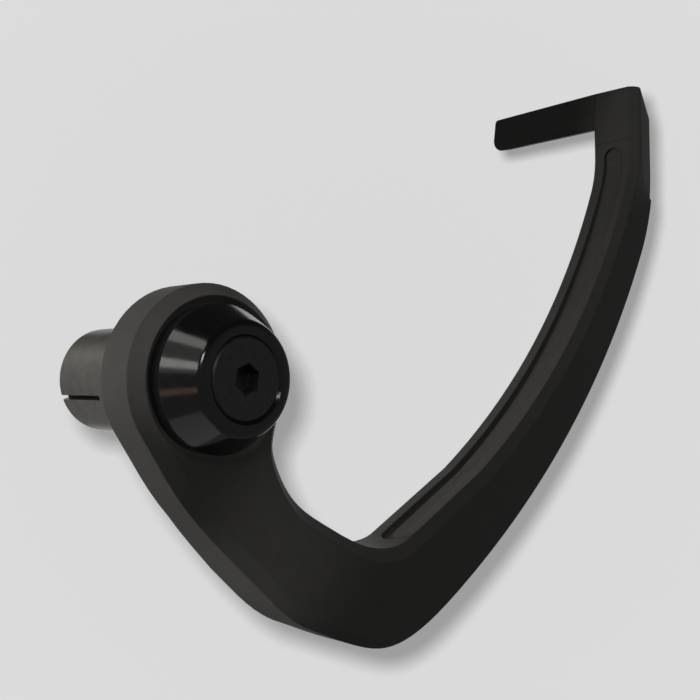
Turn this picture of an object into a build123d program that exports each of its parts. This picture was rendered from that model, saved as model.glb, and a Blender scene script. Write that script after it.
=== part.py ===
"""Brake lever guard that clamps in the open end of a motorcycle handlebar.

Millimetres. X runs along the bar towards the outside, Y forward, Z up. The
origin is on the bar's axis, in the back face of the guard's boss, where the
end of the bar meets it.
"""
import os
from math import cos, radians, sin

from build123d import *

os.makedirs("parts", exist_ok=True)

# How far cuts run past the part
over = 10.0

# Guard: plate seen along the bar, boss at the origin
front_x = 8.45
blade_back_x = -3.0
edge_chamfer = 1.95
back_chamfer = 0.5
rim_edge = 11.0
boss_r = 14.0
arm_angle = 213.0
throat_angle = -20.0

# Guard: points that the arm's two sides pass through, as Y and Z
arm_low_1 = (-6.2, -16.3)
arm_low_2 = (7.7, -31.0)
arm_heel = (18.8, -40.1)
arm_low_3 = (36.4, -46.8)
heel_in_angle = -27.0
heel_out_angle = -24.0
arm_top_1 = (35.6, -29.7)
arm_top_2 = (22.4, -24.0)
arm_top_3 = (14.9, -18.3)
arm_top_4 = (11.9, -12.6)

# Guard: blade between two large arcs that start at the bend, the inner one after a straight
inner_bend = (42.4, -29.2)
inner_r = 146.7
inner_low = -69.4
inner_kink = -60.1
inner_high = -26.2
inner_tip_r = 20.0
outer_bend = (56.6, -40.6)
outer_more_r = 35.5
outer_low = -62.4
outer_high = -30.9
outer_tip_r = 44.0

# Guard: upright tip with its outer top corner cut off
tip_rise = 15.1
tip_cut_in = 9.4
tip_cut_angle = -35.0
tip_round_r = 2.0

# Guard: back of the arm, which thickens from the boss down to the bend
arm_slope = -51.7
arm_flat_end = 14.0
arm_flare_end = 30.0

# Guard: front of the blade, laid back towards its outer edge
cant_shift = (0.8, -2.0)
cant_less_r = 7.7
cant_curve_r = 170.0
cant_turn = 12.0
facet_x = 8.4
facet_in = 7.8
facet_lean = 14.0
facet_low_in = 6.0
facet_low_out = 10.5

# Guard: long pocket in the inner side of the blade
pocket_x0 = -0.2
pocket_x1 = 4.6
pocket_depth = 0.8
pocket_low = -68.8
pocket_high = -3.6
pocket_over = 2.0

# Guard: finger at the tip, running inboard along the bar
finger_len = 30.9
finger_high = 8.5
finger_drop = 0.4
finger_root = 0.6
finger_t = 4.2
finger_lean = 2.5
finger_draft = 12.0
finger_end_slant = 2.5
finger_low_round = 2.4
finger_top_round = 1.2
line_down = 12.5
line_w = 0.3
line_depth = 0.15

# Boss: dished seat for the cap and bore for the two spigots
seat_r = 11.0
seat_x = 6.95
seat_flare = 38.0
bore_r = 6.05

# Cap
cap_base_r = 10.9
cap_base_x = 9.5
cap_flank_r = 8.4
cap_flank_x = 14.35
cap_end_r = 7.25
cap_end_x = 15.05
cap_round_r = 1.3
cap_sink_r = 6.4
spigot_r = 6.0
cap_spigot_x = 3.2
bolt_clear_r = 3.3

# Bolt: M6 x 35 countersunk, 4 mm hexagon socket
head_r = 6.0
head_x = 15.0
head_edge = 0.3
bolt_r = 3.0
bolt_len = 35.0
bolt_tip = 0.6
hex_af = 4.0
hex_depth = 2.4
hex_turn = 20.0

# Expander sleeve and its wedge nut
sleeve_r = 8.35
sleeve_end_x = -22.5
sleeve_edge = 0.3
sleeve_spigot_x = 2.8
sleeve_web_x = -5.0
sleeve_bore_r = 5.0
sleeve_taper_x = -12.0
sleeve_mouth_r = 7.4
slit_w = 0.8
slit_end_x = -10.9
slit_angle = 199.0
wedge_front_x = -12.6
wedge_back_x = -22.2


# Point on a circle, and the direction of growing angle there
def on_circle(centre, radius, angle):
    return (centre[0] + radius * cos(radians(angle)), centre[1] + radius * sin(radians(angle)))


def along_circle(angle):
    return (-sin(radians(angle)), cos(radians(angle)))


# Ends and centres of the guard's arcs
boss_start = on_circle((0.0, 0.0), boss_r, arm_angle)
boss_stop = on_circle((0.0, 0.0), boss_r, throat_angle)
inner_c = on_circle(inner_bend, -inner_r, inner_low)
inner_bend_dir = along_circle(inner_low)
inner_tip_c = on_circle(inner_c, inner_r - inner_tip_r, inner_high)
inner_tip = (inner_tip_c[0] + inner_tip_r, inner_tip_c[1])
outer_r = inner_r + outer_more_r
outer_c = on_circle(outer_bend, -outer_r, outer_low)
outer_tip_c = on_circle(outer_c, outer_r - outer_tip_r, outer_high)
outer_tip = (outer_tip_c[0] + outer_tip_r, outer_tip_c[1])
tip_top_z = inner_tip[1] + tip_rise

# Guard arm, one machined piece
with BuildPart() as guard_arm:
    with BuildSketch(Plane.YZ.offset(blade_back_x)):
        with BuildLine():
            Spline(
                boss_start,
                arm_low_1,
                arm_low_2,
                arm_heel,
                tangents=[along_circle(arm_angle), on_circle((0.0, 0.0), 1.0, heel_in_angle)],
            )
            Spline(
                arm_heel,
                arm_low_3,
                outer_bend,
                tangents=[on_circle((0.0, 0.0), 1.0, heel_out_angle), along_circle(outer_low)],
            )
            CenterArc(outer_c, outer_r, outer_low, outer_high - outer_low)
            CenterArc(outer_tip_c, outer_tip_r, outer_high, -outer_high)
            Polyline(
                outer_tip,
                (outer_tip[0], tip_top_z),
                (inner_tip[0], tip_top_z),
                inner_tip,
            )
            CenterArc(inner_tip_c, inner_tip_r, inner_high, -inner_high)
            CenterArc(inner_c, inner_r, inner_kink, inner_high - inner_kink)
            Line(on_circle(inner_c, inner_r, inner_kink), inner_bend)
            Spline(
                inner_bend,
                arm_top_1,
                arm_top_2,
                arm_top_3,
                arm_top_4,
                boss_stop,
                tangents=[(-inner_bend_dir[0], -inner_bend_dir[1]), along_circle(throat_angle)],
            )
            ThreePointArc(boss_stop, (0.0, boss_r), boss_start)
        make_face()
    extrude(amount=front_x - blade_back_x)
    front_edges = guard_arm.edges().filter_by_position(Axis.X, front_x - 0.01, front_x + 0.01)
    chamfer([e for e in front_edges if e.length > rim_edge], edge_chamfer)
    back_edges = guard_arm.edges().filter_by_position(Axis.X, blade_back_x - 0.01, blade_back_x + 0.01)
    chamfer([e for e in back_edges if e.length > rim_edge], back_chamfer)
    # Arm and boss stand back from the blade's inboard side
    arm_dir = (0.0, *on_circle((0.0, 0.0), 1.0, arm_slope))
    arm_side = (0.0, arm_dir[2], -arm_dir[1])
    with BuildSketch(Plane(origin=(0, 0, 0), x_dir=arm_dir, z_dir=arm_side)):
        with BuildLine():
            Polyline(
                (-4 * over, -over),
                (-4 * over, 0.0),
                (arm_flat_end, 0.0),
                (arm_flare_end, blade_back_x),
                (arm_flare_end, -over),
                close=True,
            )
        make_face()
    extrude(amount=4 * over, both=True, mode=Mode.SUBTRACT)
    # Blade's front face lies back towards its outer edge
    cant_c = (inner_c[0] + cant_shift[0], inner_c[1] + cant_shift[1])
    cant_r = inner_r - cant_less_r
    with BuildSketch(Plane(origin=(front_x, *cant_c), x_dir=(0, 1, 0), z_dir=(0, 0, 1))):
        with BuildLine():
            cant_arc = CenterArc((cant_r, cant_curve_r), cant_curve_r, -90.0, cant_turn)
            Polyline(
                cant_arc @ 1,
                ((cant_arc @ 1).X, -over),
                (cant_r, -over),
                cant_arc @ 0,
            )
        make_face()
    revolve(axis=Axis((front_x, *cant_c), (1, 0, 0)), mode=Mode.SUBTRACT)
    # Flat facet on the outer front edge of the tip
    facet_origin = (facet_x, outer_tip[0] - facet_in, outer_tip[1])
    facet_n = (cos(radians(facet_lean)), sin(radians(facet_lean)), 0.0)
    with BuildSketch(Plane(origin=facet_origin, x_dir=(0, 0, -1), z_dir=facet_n)):
        with BuildLine():
            Polyline(
                (-3 * over, 0.0),
                (facet_low_in, 0.0),
                (facet_low_out, facet_in),
                (facet_low_out, 2 * over),
                (-3 * over, 2 * over),
                close=True,
            )
        make_face()
    extrude(amount=over, mode=Mode.SUBTRACT)
    # Long pocket in the inner side, with round ends
    floor_r = inner_r + pocket_depth
    floor_tip_r = inner_tip_r + pocket_depth
    open_r = inner_r - pocket_over
    open_tip_r = inner_tip_r - pocket_over
    with BuildSketch(Plane.YZ.offset(pocket_x0)):
        with BuildLine():
            Line(on_circle(inner_c, floor_r, pocket_low), on_circle(inner_c, floor_r, inner_kink))
            CenterArc(inner_c, floor_r, inner_kink, inner_high - inner_kink)
            CenterArc(inner_tip_c, floor_tip_r, inner_high, pocket_high - inner_high)
            Line(
                on_circle(inner_tip_c, floor_tip_r, pocket_high),
                on_circle(inner_tip_c, open_tip_r, pocket_high),
            )
            CenterArc(inner_tip_c, open_tip_r, inner_high, pocket_high - inner_high)
            CenterArc(inner_c, open_r, pocket_low, inner_high - pocket_low)
            Line(on_circle(inner_c, open_r, pocket_low), on_circle(inner_c, floor_r, pocket_low))
        make_face()
    extrude(amount=pocket_x1 - pocket_x0, mode=Mode.SUBTRACT)
    pocket_x = (pocket_x0 + pocket_x1) / 2
    for point, angle in (
        (on_circle(inner_c, floor_r, pocket_low), (pocket_low + inner_kink) / 2),
        (on_circle(inner_tip_c, floor_tip_r, pocket_high), pocket_high),
    ):
        outward = (0.0, cos(radians(angle)), sin(radians(angle)))
        with BuildSketch(Plane(origin=(pocket_x, *point), z_dir=outward)):
            Circle((pocket_x1 - pocket_x0) / 2)
        extrude(amount=-pocket_depth - pocket_over, mode=Mode.SUBTRACT)
    # Finger at the tip, leaning out along its length and laid back below
    finger_origin = (blade_back_x + finger_root, inner_tip[0], tip_top_z)
    finger_along = (-cos(radians(finger_lean)), sin(radians(finger_lean)), 0.0)
    finger_n = (
        sin(radians(finger_lean)) * cos(radians(finger_draft)),
        cos(radians(finger_lean)) * cos(radians(finger_draft)),
        sin(radians(finger_draft)),
    )
    with BuildSketch(Plane(origin=finger_origin, x_dir=finger_along, z_dir=finger_n)) as finger:
        top_end = (finger_len, -finger_drop)
        low_end = (finger_len + finger_end_slant, -finger_high)
        with BuildLine():
            Polyline((0.0, 0.0), top_end, low_end, (0.0, -finger_high), close=True)
        make_face()
        fillet(finger.vertices().sort_by_distance(low_end)[0], finger_low_round)
        fillet(finger.vertices().sort_by_distance(top_end)[0], finger_top_round)
    extrude(amount=finger_t)
    # Outer top corner cut across the tip and along the finger
    tip_cut_y = outer_tip[0] - tip_cut_in
    with BuildSketch(Plane.YZ.offset(-6 * over)):
        with BuildLine():
            tip_round = JernArc((tip_cut_y, tip_top_z), (1, 0), tip_round_r, tip_cut_angle)
            tip_slope = PolarLine(tip_round @ 1, 2 * over, tip_cut_angle)
            Polyline(
                tip_slope @ 1,
                ((tip_slope @ 1).X, tip_top_z + over),
                (tip_cut_y, tip_top_z + over),
                (tip_cut_y, tip_top_z),
            )
        make_face()
    extrude(amount=8 * over, mode=Mode.SUBTRACT)
    # Fine line across the inner side, where the finger's flat begins
    with BuildSketch(Plane.XZ.offset(-inner_tip[0])):
        with Locations((pocket_x, tip_top_z - line_down)):
            Rectangle(2 * over, line_w)
    extrude(amount=-line_depth, mode=Mode.SUBTRACT)
    # Seat for the cap and bore for the spigots
    with BuildSketch(Plane.YZ.offset(seat_x)):
        Circle(seat_r)
    extrude(amount=over, taper=-seat_flare, mode=Mode.SUBTRACT)
    with BuildSketch(Plane.YZ.offset(-over)):
        Circle(bore_r)
    extrude(amount=2 * over, mode=Mode.SUBTRACT)

guard_arm.part.label = "guard arm"
export_step(guard_arm.part, "parts/guard_arm.step")

# End cap: turned cone with a countersink for the bolt and a spigot at the back
sink_x = cap_end_x - (cap_sink_r - bolt_clear_r)
with BuildPart() as end_cap:
    with BuildSketch(Plane.XY):
        with BuildLine():
            Polyline(
                (seat_x, spigot_r),
                (seat_x, cap_base_r),
                (cap_base_x, cap_base_r),
                (cap_flank_x, cap_flank_r),
            )
            RadiusArc((cap_flank_x, cap_flank_r), (cap_end_x, cap_end_r), cap_round_r)
            Polyline(
                (cap_end_x, cap_end_r),
                (cap_end_x, cap_sink_r),
                (sink_x, bolt_clear_r),
                (cap_spigot_x, bolt_clear_r),
                (cap_spigot_x, spigot_r),
                (seat_x, spigot_r),
            )
        make_face()
    revolve(axis=Axis.X)

end_cap.part.label = "end cap"
export_step(end_cap.part, "parts/end_cap.step")

# Clamp bolt
head_rim_x = cap_end_x - (cap_sink_r - head_r)
bolt_end_x = head_x - bolt_len
with BuildPart() as clamp_bolt:
    with BuildSketch(Plane.XY):
        with BuildLine():
            Polyline(
                (head_x, 0.0),
                (head_x, head_r - head_edge),
                (head_x - head_edge, head_r),
                (head_rim_x, head_r),
                (head_rim_x - (head_r - bolt_r), bolt_r),
                (bolt_end_x + bolt_tip, bolt_r),
                (bolt_end_x, bolt_r - bolt_tip),
                (bolt_end_x, 0.0),
                close=True,
            )
        make_face()
    revolve(axis=Axis.X)
    with BuildSketch(Plane.YZ.offset(head_x)):
        RegularPolygon(hex_af / 2, 6, major_radius=False, rotation=hex_turn)
    extrude(amount=-hex_depth, mode=Mode.SUBTRACT)

clamp_bolt.part.label = "clamp bolt"
export_step(clamp_bolt.part, "parts/clamp_bolt.step")

# Expander sleeve: split from its far end, tapered inside
with BuildPart() as expander_sleeve:
    with BuildSketch(Plane.XY):
        with BuildLine():
            Polyline(
                (sleeve_spigot_x, bolt_clear_r),
                (sleeve_spigot_x, spigot_r),
                (0.0, spigot_r),
                (0.0, sleeve_r),
                (sleeve_end_x + sleeve_edge, sleeve_r),
                (sleeve_end_x, sleeve_r - sleeve_edge),
                (sleeve_end_x, sleeve_mouth_r),
                (sleeve_taper_x, sleeve_bore_r),
                (sleeve_web_x, sleeve_bore_r),
                (sleeve_web_x, bolt_clear_r),
                close=True,
            )
        make_face()
    revolve(axis=Axis.X)
    for turn in (0.0, 120.0, 240.0):
        radial = (0.0, cos(radians(slit_angle + turn)), sin(radians(slit_angle + turn)))
        with BuildSketch(Plane(origin=(0, 0, 0), x_dir=(1, 0, 0), z_dir=radial)):
            with Locations((sleeve_end_x, 0.0)):
                Rectangle(2 * (slit_end_x - sleeve_end_x), slit_w)
        extrude(amount=2 * sleeve_r, mode=Mode.SUBTRACT)

expander_sleeve.part.label = "expander sleeve"
export_step(expander_sleeve.part, "parts/expander_sleeve.step")

# Wedge nut that the bolt draws into the sleeve
taper = (sleeve_mouth_r - sleeve_bore_r) / (sleeve_taper_x - sleeve_end_x)
with BuildPart() as wedge_nut:
    with BuildSketch(Plane.XY):
        with BuildLine():
            Polyline(
                (wedge_front_x, bolt_r),
                (wedge_front_x, sleeve_bore_r + taper * (sleeve_taper_x - wedge_front_x)),
                (wedge_back_x, sleeve_bore_r + taper * (sleeve_taper_x - wedge_back_x)),
                (wedge_back_x, bolt_r),
                close=True,
            )
        make_face()
    revolve(axis=Axis.X)

wedge_nut.part.label = "wedge nut"
export_step(wedge_nut.part, "parts/wedge_nut.step")
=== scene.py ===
"""Looks of the brake lever guard: finishes, stage, lights and camera.

Metres, in the part's own frame: X along the bar towards the outside, Y
forward, Z up.
"""
from math import cos, radians, sin

import bpy
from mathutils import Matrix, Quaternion, Vector

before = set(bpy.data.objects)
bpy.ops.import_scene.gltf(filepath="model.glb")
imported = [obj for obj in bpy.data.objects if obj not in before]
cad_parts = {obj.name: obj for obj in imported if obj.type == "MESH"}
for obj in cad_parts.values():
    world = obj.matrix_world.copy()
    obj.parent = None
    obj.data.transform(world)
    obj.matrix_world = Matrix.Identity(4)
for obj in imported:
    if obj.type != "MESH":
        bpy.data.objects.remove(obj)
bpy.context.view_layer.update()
scene = bpy.context.scene

MM = 1000.0

# Camera as in the photograph, with its angles in degrees
CAMERA_PLACE = Vector((0.11796, -0.08343, 0.00176))
CAMERA_AZIMUTH = 44.81
CAMERA_ELEVATION = -0.90
CAMERA_ROLL = -0.90
CAMERA_CLIP = 0.005
IMAGE_PX = 700
FOCAL_PX = 950
SENSOR_MM = 36.0

# Wall behind the part. Its paint is paler away from the middle, where the shadow lamp is nearest
WALL_AWAY = 1.1
WALL_SIZE = 0.95
WALL_PALE = 0.58
WALL_PALER_POWER = 1.45
WALL_GLOW = 0.27

# Soft shadow on the wall, from a small lamp beside the camera
SHADOW_LAMP_LEFT = 0.0028
SHADOW_LAMP_UP = 0.0033
SHADOW_LAMP_AHEAD = 0.0010
SHADOW_LAMP_R = 0.0022
SHADOW_LAMP_POWER = 29.6

# World: its level behind the wall, its dim level elsewhere, and the share of that at the zenith
BACKGROUND = 0.694
AMBIENT = 0.14
ZENITH_SHARE = 0.2
# Height of a direction at which the dim level starts to fade and has faded to the zenith's
FADE_START = 0.1
FADE_END = 0.6
# Cosine to the wall's direction at which a reflection starts to see the background and sees it in full
WALL_SIDE_START = 0.86
WALL_SIDE_FULL = 0.98

# Cap's upright wall below its cone, painted paler as painted light that lifts the shade in the seat
# round the cap: how much paler it is, and where along the bar that fades out
CAP_WALL_PAINTED_LIFT = 5.0
CAP_WALL_END_MM = 9.2
CAP_CONE_START_MM = 9.7

# Lamps: points that they aim at, and colours
CAP_MID = Vector((0.011, 0.0, 0.0))
SLEEVE_MID = Vector((-0.011, 0.0, 0.0))
BLADE_MID = Vector((0.0, 0.08, 0.02))
WINDOW_AWAY = 0.62
DAYLIGHT = (1.0, 0.98, 0.95)
WARM_WHITE = (1.0, 0.98, 0.94)
CREAM = (1.0, 0.90, 0.78)
BROWN = (1.0, 0.65, 0.40)


def new_material(name):
    """A node material, with its nodes and links."""
    material = bpy.data.materials.new(name)
    material.use_nodes = True
    return material, material.node_tree.nodes, material.node_tree.links


def principled(nodes, **sockets):
    """Sets sockets of the material's shader, with underscores for the spaces in their names."""
    shader = nodes["Principled BSDF"]
    for name, value in sockets.items():
        shader.inputs[name.replace("_", " ")].default_value = value
    return shader


def place_mm(nodes, links, scale=(1.0, 1.0, 1.0)):
    """The part's own coordinates in millimetres, stretched by scale."""
    where = nodes.new("ShaderNodeTexCoord")
    mapping = nodes.new("ShaderNodeMapping")
    mapping.inputs["Scale"].default_value = [MM * s for s in scale]
    links.new(where.outputs["Object"], mapping.inputs["Vector"])
    return mapping.outputs["Vector"]


def noise(nodes, links, vector, scale, detail=3.0, roughness=0.55):
    """A noise value that swings about a half."""
    texture = nodes.new("ShaderNodeTexNoise")
    texture.inputs["Scale"].default_value = scale
    texture.inputs["Detail"].default_value = detail
    texture.inputs["Roughness"].default_value = roughness
    links.new(vector, texture.inputs["Vector"])
    return texture.outputs["Fac"]


def spread(nodes, links, value, low, high, from_low=0.3, from_high=0.7):
    """Maps a value, by default a noise value, to the range low to high."""
    remap = nodes.new("ShaderNodeMapRange")
    remap.inputs["From Min"].default_value = from_low
    remap.inputs["From Max"].default_value = from_high
    remap.inputs["To Min"].default_value = low
    remap.inputs["To Max"].default_value = high
    links.new(value, remap.inputs["Value"])
    return remap.outputs["Result"]


def two_colours(nodes, links, value, dark, light):
    """A colour between dark and light, by a noise value."""
    ramp = nodes.new("ShaderNodeValToRGB")
    ramp.color_ramp.elements[0].position = 0.3
    ramp.color_ramp.elements[0].color = (*dark, 1.0)
    ramp.color_ramp.elements[1].position = 0.7
    ramp.color_ramp.elements[1].color = (*light, 1.0)
    links.new(value, ramp.inputs["Fac"])
    return ramp.outputs["Color"]


def arithmetic(nodes, links, operation, first, second):
    """A Math node of two inputs, each a socket or a number."""
    node = nodes.new("ShaderNodeMath")
    node.operation = operation
    for socket, value in zip(node.inputs, (first, second)):
        if isinstance(value, (int, float)):
            socket.default_value = value
        else:
            links.new(value, socket)
    return node.outputs["Value"]


def soft_edges(nodes, radius_mm):
    """Normal that is rounded over the edges, as broken edges are."""
    node = nodes.new("ShaderNodeBevel")
    node.samples = 6
    node.inputs["Radius"].default_value = radius_mm / MM
    return node.outputs["Normal"]


def bump(nodes, links, height, strength, distance_mm, normal):
    """Normal with a fine relief on it."""
    node = nodes.new("ShaderNodeBump")
    node.inputs["Strength"].default_value = strength
    node.inputs["Distance"].default_value = distance_mm / MM
    links.new(height, node.inputs["Height"])
    links.new(normal, node.inputs["Normal"])
    return node.outputs["Normal"]


def guard_material():
    """Bead-blasted aluminium, anodised matte black."""
    material, nodes, links = new_material("black_anodised")
    shader = principled(nodes, IOR=1.5, Specular_IOR_Level=0.15)
    at = place_mm(nodes, links)
    cloud = noise(nodes, links, at, scale=0.35)
    grain = noise(nodes, links, at, scale=9.0, detail=4.0, roughness=0.6)
    black = two_colours(nodes, links, cloud,
                        dark=(0.0275, 0.0271, 0.0262), light=(0.0305, 0.0300, 0.0291))
    links.new(black, shader.inputs["Base Color"])
    links.new(spread(nodes, links, grain, low=0.46, high=0.60), shader.inputs["Roughness"])
    edges = soft_edges(nodes, radius_mm=0.45)
    blasted = bump(nodes, links, grain, strength=0.10, distance_mm=0.03, normal=edges)
    links.new(blasted, shader.inputs["Normal"])
    return material


def cap_material():
    """Turned aluminium, anodised glossy black, with the wall that stands in the seat painted a little
    paler: painted light that lifts the shade round the cap.
    """
    material, nodes, links = new_material("gloss_anodised")
    shader = principled(nodes, IOR=1.6, Specular_IOR_Level=0.5)
    at = place_mm(nodes, links)
    cloud = noise(nodes, links, at, scale=0.6)
    turned = noise(nodes, links, place_mm(nodes, links, (9.0, 0.35, 0.35)), scale=1.0, detail=2.0)
    black = two_colours(nodes, links, cloud,
                        dark=(0.0035, 0.0034, 0.0036), light=(0.005, 0.0049, 0.0052))
    along = nodes.new("ShaderNodeSeparateXYZ")
    links.new(at, along.inputs["Vector"])
    # Painted light: the cap's upright wall in the seat is painted paler, to lift the shade that falls
    # there round the cap.
    paler = spread(nodes, links, along.outputs["X"], low=CAP_WALL_PAINTED_LIFT, high=1.0,
                   from_low=CAP_WALL_END_MM, from_high=CAP_CONE_START_MM)
    tone = nodes.new("ShaderNodeVectorMath")
    tone.operation = "SCALE"
    links.new(black, tone.inputs["Vector"])
    links.new(paler, tone.inputs["Scale"])
    links.new(tone.outputs["Vector"], shader.inputs["Base Color"])
    links.new(spread(nodes, links, cloud, low=0.10, high=0.16), shader.inputs["Roughness"])
    edges = soft_edges(nodes, radius_mm=0.35)
    grooved = bump(nodes, links, turned, strength=0.05, distance_mm=0.02, normal=edges)
    links.new(grooved, shader.inputs["Normal"])
    return material


def oxide_material(name):
    """Steel with a black oxide finish."""
    material, nodes, links = new_material(name)
    shader = principled(nodes, IOR=1.5, Specular_IOR_Level=0.5)
    at = place_mm(nodes, links)
    cloud = noise(nodes, links, at, scale=1.2)
    grain = noise(nodes, links, at, scale=14.0)
    black = two_colours(nodes, links, cloud, dark=(0.012, 0.012, 0.012), light=(0.022, 0.022, 0.021))
    links.new(black, shader.inputs["Base Color"])
    links.new(spread(nodes, links, cloud, low=0.34, high=0.48), shader.inputs["Roughness"])
    edges = soft_edges(nodes, radius_mm=0.15)
    rough = bump(nodes, links, grain, strength=0.12, distance_mm=0.02, normal=edges)
    links.new(rough, shader.inputs["Normal"])
    return material


def sleeve_material():
    """Turned aluminium, left bare."""
    material, nodes, links = new_material("bare_aluminium")
    shader = principled(nodes, Metallic=1.0)
    cloud = noise(nodes, links, place_mm(nodes, links), scale=0.5)
    turned = noise(nodes, links, place_mm(nodes, links, (6.0, 0.12, 0.12)), scale=1.0, detail=4.0)
    grey = two_colours(nodes, links, cloud, dark=(0.42, 0.40, 0.37), light=(0.52, 0.51, 0.49))
    links.new(grey, shader.inputs["Base Color"])
    links.new(spread(nodes, links, turned, low=0.32, high=0.46), shader.inputs["Roughness"])
    edges = soft_edges(nodes, radius_mm=0.15)
    grooved = bump(nodes, links, turned, strength=0.15, distance_mm=0.03, normal=edges)
    links.new(grooved, shader.inputs["Normal"])
    return material


def dress(node, material):
    """Gives a node of the frame its finish."""
    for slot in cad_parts[node].material_slots:
        slot.material = material


def wall_material(middle, lamp_away):
    """Pale and matte, with a tone that evens out a lamp's falloff from the middle."""
    material, nodes, links = new_material("backdrop_pale")
    shader = principled(nodes, Roughness=0.9, Specular_IOR_Level=0.0,
                        Emission_Color=(1.0, 1.0, 1.0, 1.0), Emission_Strength=WALL_GLOW)
    where = nodes.new("ShaderNodeTexCoord")
    away = nodes.new("ShaderNodeVectorMath")
    away.operation = "DISTANCE"
    away.inputs[1].default_value = middle
    links.new(where.outputs["Object"], away.inputs[0])
    paler = arithmetic(nodes, links, "DIVIDE", away.outputs["Value"], lamp_away)
    paler = arithmetic(nodes, links, "POWER", paler, 2.0)
    paler = arithmetic(nodes, links, "ADD", paler, 1.0)
    paler = arithmetic(nodes, links, "POWER", paler, WALL_PALER_POWER)
    tone = arithmetic(nodes, links, "MULTIPLY", paler, WALL_PALE)
    links.new(tone, shader.inputs["Base Color"])
    return material


def sheet(name, corners, material):
    """A flat stage sheet from its four corners."""
    mesh = bpy.data.meshes.new(name)
    mesh.from_pydata(corners, [], [(0, 1, 2, 3)])
    thing = bpy.data.objects.new(name, mesh)
    scene.collection.objects.link(thing)
    mesh.materials.append(material)
    return thing


def hang_lamp(lamp, place, aim, receivers, glossy):
    """Places a lamp, turns it to its aim and lets it light the receivers alone."""
    thing = bpy.data.objects.new(lamp.name, lamp)
    scene.collection.objects.link(thing)
    thing.location = place
    thing.rotation_mode = "QUATERNION"
    thing.rotation_quaternion = (aim - place).to_track_quat("-Z", "Y")
    thing.visible_camera = False
    thing.visible_glossy = glossy
    thing.light_linking.receiver_collection = receivers
    return thing


def area_lamp(name, place, aim, size, power, colour, receivers, glossy=True):
    """A flat lamp, which glossy surfaces mirror unless glossy is False."""
    lamp = bpy.data.lights.new(name, "AREA")
    lamp.shape = "RECTANGLE"
    lamp.size, lamp.size_y = size
    lamp.energy = power
    lamp.color = colour
    hang_lamp(lamp, place, aim, receivers, glossy)


def spot_lamp(name, place, aim, angle, blend, radius, power):
    """A narrow lamp for the guard alone, in which the other pieces throw no shadow."""
    lamp = bpy.data.lights.new(name, "SPOT")
    lamp.energy = power
    lamp.color = WARM_WHITE
    lamp.shadow_soft_size = radius
    lamp.spot_size = radians(angle)
    lamp.spot_blend = blend
    thing = hang_lamp(lamp, place, aim, guard_set, glossy=False)
    thing.light_linking.blocker_collection = guard_set


# Finishes
dress("guard_arm", guard_material())
dress("end_cap", cap_material())
dress("clamp_bolt", oxide_material("bolt_black_oxide"))
dress("expander_sleeve", sleeve_material())
dress("wedge_nut", oxide_material("nut_black_oxide"))

# Camera
azimuth = radians(CAMERA_AZIMUTH)
elevation = radians(CAMERA_ELEVATION)
back = Vector((sin(azimuth) * cos(elevation), -cos(azimuth) * cos(elevation), sin(elevation)))
turn = (-back).to_track_quat("-Z", "Y") @ Quaternion((0.0, 0.0, 1.0), radians(CAMERA_ROLL))
right = turn @ Vector((1.0, 0.0, 0.0))
up = turn @ Vector((0.0, 1.0, 0.0))
camera = bpy.data.objects.new("camera", bpy.data.cameras.new("camera"))
scene.collection.objects.link(camera)
camera.data.sensor_width = SENSOR_MM
camera.data.lens = FOCAL_PX / IMAGE_PX * SENSOR_MM
camera.data.clip_start = CAMERA_CLIP
camera.location = CAMERA_PLACE
camera.rotation_mode = "QUATERNION"
camera.rotation_quaternion = turn
scene.camera = camera

# Stage
wall_mid = CAMERA_PLACE - back * WALL_AWAY
wall_right = right * WALL_SIZE / 2
wall_up = up * WALL_SIZE / 2
wall = sheet(
    "backdrop",
    [
        wall_mid - wall_right - wall_up,
        wall_mid + wall_right - wall_up,
        wall_mid + wall_right + wall_up,
        wall_mid - wall_right + wall_up,
    ],
    wall_material(wall_mid, WALL_AWAY),
)

# What the lamps light: the wall, the part, the guard, or the cap with its bolt, sleeve and nut
stage_set = bpy.data.collections.new("stage_receivers")
stage_set.objects.link(wall)
part_set = bpy.data.collections.new("part_receivers")
guard_set = bpy.data.collections.new("guard_receivers")
plug_set = bpy.data.collections.new("plug_receivers")
for name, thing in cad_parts.items():
    part_set.objects.link(thing)
    (guard_set if name == "guard_arm" else plug_set).objects.link(thing)

# World: pale to the camera, and to reflections and glass on the wall's side, dim elsewhere
world = bpy.data.worlds.new("studio")
scene.world = world
world.use_nodes = True
sky_nodes = world.node_tree.nodes
sky_links = world.node_tree.links
sky = sky_nodes["Background"]
sky.inputs["Color"].default_value = (1.0, 1.0, 1.0, 1.0)
path = sky_nodes.new("ShaderNodeLightPath")
towards = sky_nodes.new("ShaderNodeTexCoord")
facing = sky_nodes.new("ShaderNodeVectorMath")
facing.operation = "DOT_PRODUCT"
facing.inputs[1].default_value = -back
sky_links.new(towards.outputs["Generated"], facing.inputs[0])
wall_side = spread(sky_nodes, sky_links, facing.outputs["Value"], low=0.0, high=1.0,
                   from_low=WALL_SIDE_START, from_high=WALL_SIDE_FULL)
mirrored = arithmetic(sky_nodes, sky_links, "MAXIMUM", path.outputs["Is Glossy Ray"],
                      path.outputs["Is Transmission Ray"])
mirrored = arithmetic(sky_nodes, sky_links, "MULTIPLY", mirrored, wall_side)
pale = arithmetic(sky_nodes, sky_links, "MAXIMUM", path.outputs["Is Camera Ray"], mirrored)
height = sky_nodes.new("ShaderNodeSeparateXYZ")
sky_links.new(towards.outputs["Generated"], height.inputs["Vector"])
dim = spread(sky_nodes, sky_links, height.outputs["Z"], low=AMBIENT, high=AMBIENT * ZENITH_SHARE,
             from_low=FADE_START, from_high=FADE_END)
level = sky_nodes.new("ShaderNodeMix")
sky_links.new(pale, level.inputs["Factor"])
sky_links.new(dim, level.inputs["A"])
level.inputs["B"].default_value = BACKGROUND
sky_links.new(level.outputs["Result"], sky.inputs["Strength"])

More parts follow.
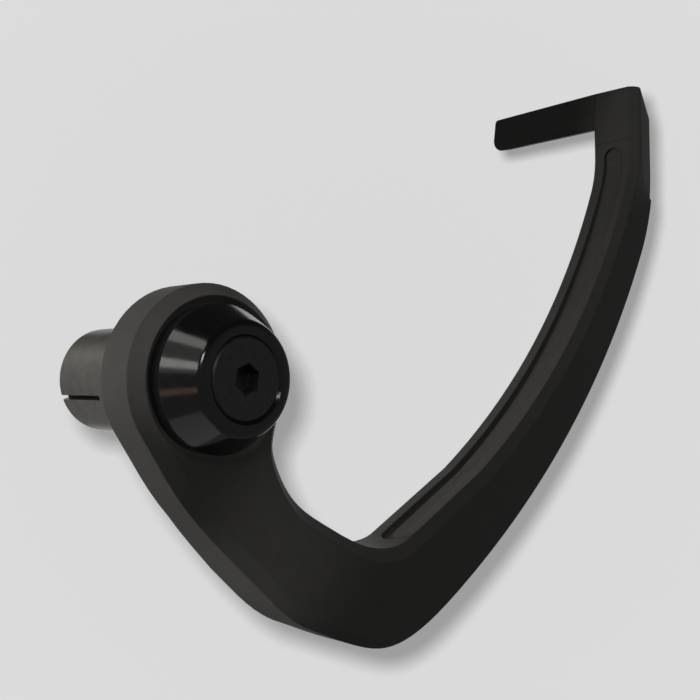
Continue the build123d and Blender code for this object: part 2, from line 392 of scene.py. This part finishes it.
# Window that the cap mirrors: an even middle between two brighter bands
for name, way, size, power in (
    ("window_middle", (-0.12, -0.80, 0.59), (0.62, 0.62), 0.47),
    ("window_low_band", (-0.138, -0.920, 0.367), (0.62, 0.12), 0.60),
    ("window_top_band", (-0.085, -0.567, 0.819), (0.62, 0.14), 0.40),
):
    area_lamp(name, CAP_MID + Vector(way) * WINDOW_AWAY, CAP_MID, size, power, DAYLIGHT, plug_set)

# Panels that the cap and the sleeve mirror, and fills that nothing mirrors
area_lamp("brown_panel", CAP_MID + Vector((-0.05, -0.965, -0.26)) * 0.50, CAP_MID,
          size=(0.40, 0.07), power=0.05, colour=BROWN, receivers=plug_set)
area_lamp("sleeve_panel", SLEEVE_MID + Vector((-0.72, -0.40, 0.57)) * 0.50, SLEEVE_MID,
          size=(0.20, 0.20), power=0.04, colour=CREAM, receivers=plug_set)
area_lamp("low_panel", CAP_MID + Vector((-0.19, -0.31, -0.92)) * 0.40, CAP_MID,
          size=(0.26, 0.26), power=0.058, colour=WARM_WHITE, receivers=part_set)
area_lamp("behind_panel", CAP_MID + Vector((0.71, -0.53, 0.48)) * 0.55, CAP_MID,
          size=(0.10, 0.10), power=0.45, colour=DAYLIGHT, receivers=part_set)
area_lamp("front_fill", CAP_MID + Vector((0.65, 0.15, 0.75)) * 0.45, CAP_MID,
          size=(0.20, 0.20), power=0.28, colour=WARM_WHITE, receivers=part_set, glossy=False)
area_lamp("near_fill", CAP_MID + Vector((0.60, -0.45, 0.66)) * 0.55, BLADE_MID,
          size=(0.20, 0.20), power=0.42, colour=WARM_WHITE, receivers=guard_set, glossy=False)
area_lamp("top_light", BLADE_MID + Vector((-0.55, 0.30, 0.78)) * 0.55, BLADE_MID,
          size=(0.20, 0.20), power=3.15, colour=WARM_WHITE, receivers=guard_set, glossy=False)

# Narrow lamps on the boss, its upper corner, the seat round the cap, the arm and the tip
spot_lamp("side_key", CAP_MID + Vector((-0.60, -0.79, -0.09)) * 0.19, CAP_MID,
          angle=40.2, blend=0.10, radius=0.006, power=2.3)
spot_lamp("corner_light", CAP_MID + Vector((0.35, -0.75, 0.60)) * 0.25, Vector((0.004, -0.010, 0.012)),
          angle=9.0, blend=0.6, radius=0.006, power=2.2)
spot_lamp("seat_fill", Vector((0.250, 0.050, 0.0)), Vector((0.011, -0.0010, 0.0008)),
          angle=5.6, blend=0.12, radius=0.001, power=0.8)
spot_lamp("arm_fill", Vector((0.105, -0.085, -0.100)), Vector((0.008, 0.0095, -0.029)),
          angle=13.0, blend=1.0, radius=0.006, power=0.52)
spot_lamp("tip_fill", Vector((0.060, 0.335, 0.058)), Vector((0.008, 0.128, 0.0555)),
          angle=8.4, blend=0.4, radius=0.004, power=1.7)

# Shadow lamp, for the wall alone
shadow_lamp = bpy.data.lights.new("shadow_lamp", "POINT")
shadow_lamp.energy = SHADOW_LAMP_POWER
shadow_lamp.shadow_soft_size = SHADOW_LAMP_R
shadow_place = (CAMERA_PLACE - right * SHADOW_LAMP_LEFT + up * SHADOW_LAMP_UP
                - back * SHADOW_LAMP_AHEAD)
hang_lamp(shadow_lamp, shadow_place, wall_mid, stage_set, glossy=False)

scene.view_settings.view_transform = "Standard"
